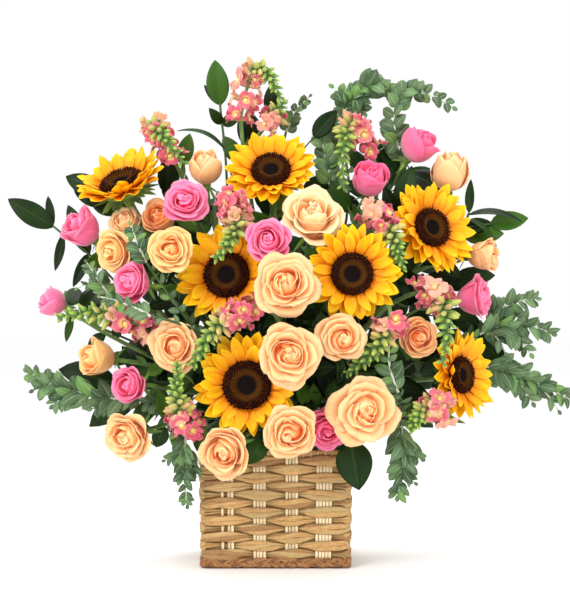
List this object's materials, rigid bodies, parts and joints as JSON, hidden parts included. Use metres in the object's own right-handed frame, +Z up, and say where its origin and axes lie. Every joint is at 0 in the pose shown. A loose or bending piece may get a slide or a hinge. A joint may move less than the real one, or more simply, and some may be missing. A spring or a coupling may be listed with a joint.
{
  "type": "flower basket arrangement",
  "caption": "Front-facing arrangement of sunflowers, roses, snapdragons and greenery whose stems stand in floral foam in a square woven basket.",
  "frame": {"origin": "centre of the basket's flat underside, on the surface it stands on", "axes": "+Z up, +X to the right as seen from the front, and the front of the arrangement faces -Y"},
  "size_m": [0.7573, 0.3334, 0.6765],
  "materials": {
    "reed": "split rush and cream cane, unvarnished",
    "border": "plaited brown rush",
    "liner": "thin dark plastic tray",
    "foam": "open-celled floral foam, matt green",
    "stem": "soft green stems, bracts and sepals",
    "sunflower_petal": "soft golden petals",
    "sunflower_disc": "dry dark florets",
    "peach_rose": "soft petals",
    "pink_rose": "soft petals",
    "snapdragon": "soft pink florets and green buds",
    "eucalyptus": "dull blue-green leaves on pale twigs",
    "ruscus": "leathery dark green leaves"
  },
  "bodies": {
    "root": {"basket_border": "border", "basket_rim": "reed", "basket_weave": "reed", "eucalyptus_left": "eucalyptus", "eucalyptus_right": "eucalyptus", "eucalyptus_top": "eucalyptus", "flower_stems": "stem", "foam": "foam", "liner": "liner", "rose_peach_1": "peach_rose", "rose_peach_10": "peach_rose", "rose_peach_11": "peach_rose", "rose_peach_12": "peach_rose", "rose_peach_13": "peach_rose", "rose_peach_14": "peach_rose", "rose_peach_15": "peach_rose", "rose_peach_16": "peach_rose", "rose_peach_17": "peach_rose", "rose_peach_18": "peach_rose", "rose_peach_2": "peach_rose", "rose_peach_3": "peach_rose", "rose_peach_4": "peach_rose", "rose_peach_5": "peach_rose", "rose_peach_6": "peach_rose", "rose_peach_7": "peach_rose", "rose_peach_8": "peach_rose", "rose_peach_9": "peach_rose", "rose_pink_1": "pink_rose", "rose_pink_10": "pink_rose", "rose_pink_2": "pink_rose", "rose_pink_3": "pink_rose", "rose_pink_4": "pink_rose", "rose_pink_5": "pink_rose", "rose_pink_6": "pink_rose", "rose_pink_7": "pink_rose", "rose_pink_8": "pink_rose", "rose_pink_9": "pink_rose", "ruscus_back": "ruscus", "ruscus_front": "ruscus", "ruscus_left": "ruscus", "ruscus_right": "ruscus", "ruscus_top": "ruscus", "snapdragon_centre": "snapdragon", "snapdragon_left": "snapdragon", "snapdragon_right": "snapdragon", "snapdragon_top": "snapdragon", "sunflower_1_disc": "sunflower_disc", "sunflower_1_petals": "sunflower_petal", "sunflower_2_disc": "sunflower_disc", "sunflower_2_petals": "sunflower_petal", "sunflower_3_disc": "sunflower_disc", "sunflower_3_petals": "sunflower_petal", "sunflower_4_disc": "sunflower_disc", "sunflower_4_petals": "sunflower_petal", "sunflower_5_disc": "sunflower_disc", "sunflower_5_petals": "sunflower_petal", "sunflower_6_disc": "sunflower_disc", "sunflower_6_petals": "sunflower_petal", "sunflower_7_disc": "sunflower_disc", "sunflower_7_petals": "sunflower_petal"}
  },
  "joints": []
}
